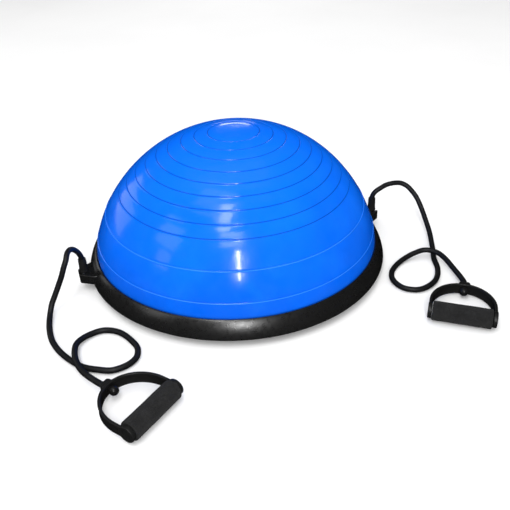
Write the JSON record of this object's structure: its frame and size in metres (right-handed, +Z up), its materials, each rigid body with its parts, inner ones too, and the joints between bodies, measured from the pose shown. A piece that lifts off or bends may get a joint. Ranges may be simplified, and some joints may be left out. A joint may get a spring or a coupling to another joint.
{
  "type": "balance dome trainer",
  "caption": "Inflated half-ball on a round flat platform with a clamp ring; a resistance band with a foam-gripped D handle hooks to a lug on each side.",
  "frame": {"origin": "middle of the platform, at the height of the floor it stands on; the middle of the underside is 3 mm above it", "axes": "+Z up through the crown of the dome, +X through the right band's lug, -X through the left band's lug, both handles lie on the -Y side"},
  "size_m": [0.8071, 0.737, 0.276],
  "materials": {
    "dome_pvc": "glossy inflated PVC",
    "platform_plastic": "satin moulded black",
    "ring_plastic": "satin moulded black",
    "membrane_pvc": "matt sheet",
    "valve_plastic": "pale moulded",
    "foot_rubber": "matt",
    "screw_steel": "zinc plated",
    "band_rubber": "satin latex tube",
    "stopper_plastic": "moulded ball",
    "handle_plastic": "fine grained moulding",
    "grip_foam": "closed-cell foam"
  },
  "bodies": {
    "base": {"platform_tray": "platform_plastic", "rim_ring": "ring_plastic", "bottom_membrane": "membrane_pvc", "valve_seat": "valve_plastic", "foot_1": "foot_rubber", "foot_2": "foot_rubber", "foot_3": "foot_rubber", "foot_4": "foot_rubber", "foot_5": "foot_rubber", "foot_6": "foot_rubber", "foot_7": "foot_rubber", "foot_8": "foot_rubber", "ring_screw_1": "screw_steel", "ring_screw_2": "screw_steel", "ring_screw_3": "screw_steel", "ring_screw_4": "screw_steel", "ring_screw_5": "screw_steel", "ring_screw_6": "screw_steel", "ring_screw_7": "screw_steel", "ring_screw_8": "screw_steel"},
    "dome": {"dome_bladder": "dome_pvc"},
    "plug": {"valve_plug": "valve_plastic"},
    "left_hook": {"left_hook_stopper": "stopper_plastic"},
    "left_band": {"left_hook_sleeve": "band_rubber", "left_tube": "band_rubber", "left_handle_stopper": "stopper_plastic"},
    "left_handle": {"left_handle_yoke": "handle_plastic"},
    "left_grip": {"left_grip_core": "handle_plastic", "left_foam_grip": "grip_foam"},
    "right_hook": {"right_hook_stopper": "stopper_plastic"},
    "right_band": {"right_hook_sleeve": "band_rubber", "right_tube": "band_rubber", "right_handle_stopper": "stopper_plastic"},
    "right_handle": {"right_handle_yoke": "handle_plastic"},
    "right_grip": {"right_grip_core": "handle_plastic", "right_foam_grip": "grip_foam"}
  },
  "joints": [
    {"name": "dome_press", "type": "slide", "parent": "base", "child": "dome", "axis": [0, 0, -1], "range_m": [0, 0.06], "stiffness_N_per_m": 12000, "springref_m": -0.002, "deforming": ["dome_bladder"]},
    {"name": "valve_plug_pull", "type": "slide", "parent": "base", "child": "plug", "axis": [0, 0, -1], "range_m": [0, 0.024]},
    {"name": "left_unhook", "type": "slide", "parent": "base", "child": "left_hook", "axis": [-1, 0, 0], "range_m": [0, 0.045]},
    {"name": "left_band_swivel", "type": "hinge", "parent": "left_hook", "child": "left_band", "pos_m": [-0.312, 0, 0.03], "axis": [0, 0, 1], "range_deg": [-120, 2]},
    {"name": "left_handle_twist", "type": "hinge", "parent": "left_band", "child": "left_handle", "pos_m": [-0.3184, -0.3214, 0.0178], "axis": [0.6046, -0.7965, 0], "range_deg": [-180, 180]},
    {"name": "left_grip_spin", "type": "hinge", "parent": "left_handle", "child": "left_grip", "pos_m": [-0.26659, -0.38966, 0.0178], "axis": [-0.7965, -0.6046, 0], "continuous": true},
    {"name": "right_unhook", "type": "slide", "parent": "base", "child": "right_hook", "axis": [1, 0, 0], "range_m": [0, 0.045]},
    {"name": "right_band_swivel", "type": "hinge", "parent": "right_hook", "child": "right_band", "pos_m": [0.312, 0, 0.03], "axis": [0, 0, 1], "range_deg": [-2, 120]},
    {"name": "right_handle_twist", "type": "hinge", "parent": "right_band", "child": "right_handle", "pos_m": [0.3462, -0.3013, 0.0126], "axis": [-0.6035, -0.795, 0.061], "range_deg": [-180, 180]},
    {"name": "right_grip_spin", "type": "hinge", "parent": "right_handle", "child": "right_grip", "pos_m": [0.29448, -0.36944, 0.01783], "axis": [-0.7965, 0.6046, 0], "continuous": true}
  ]
}
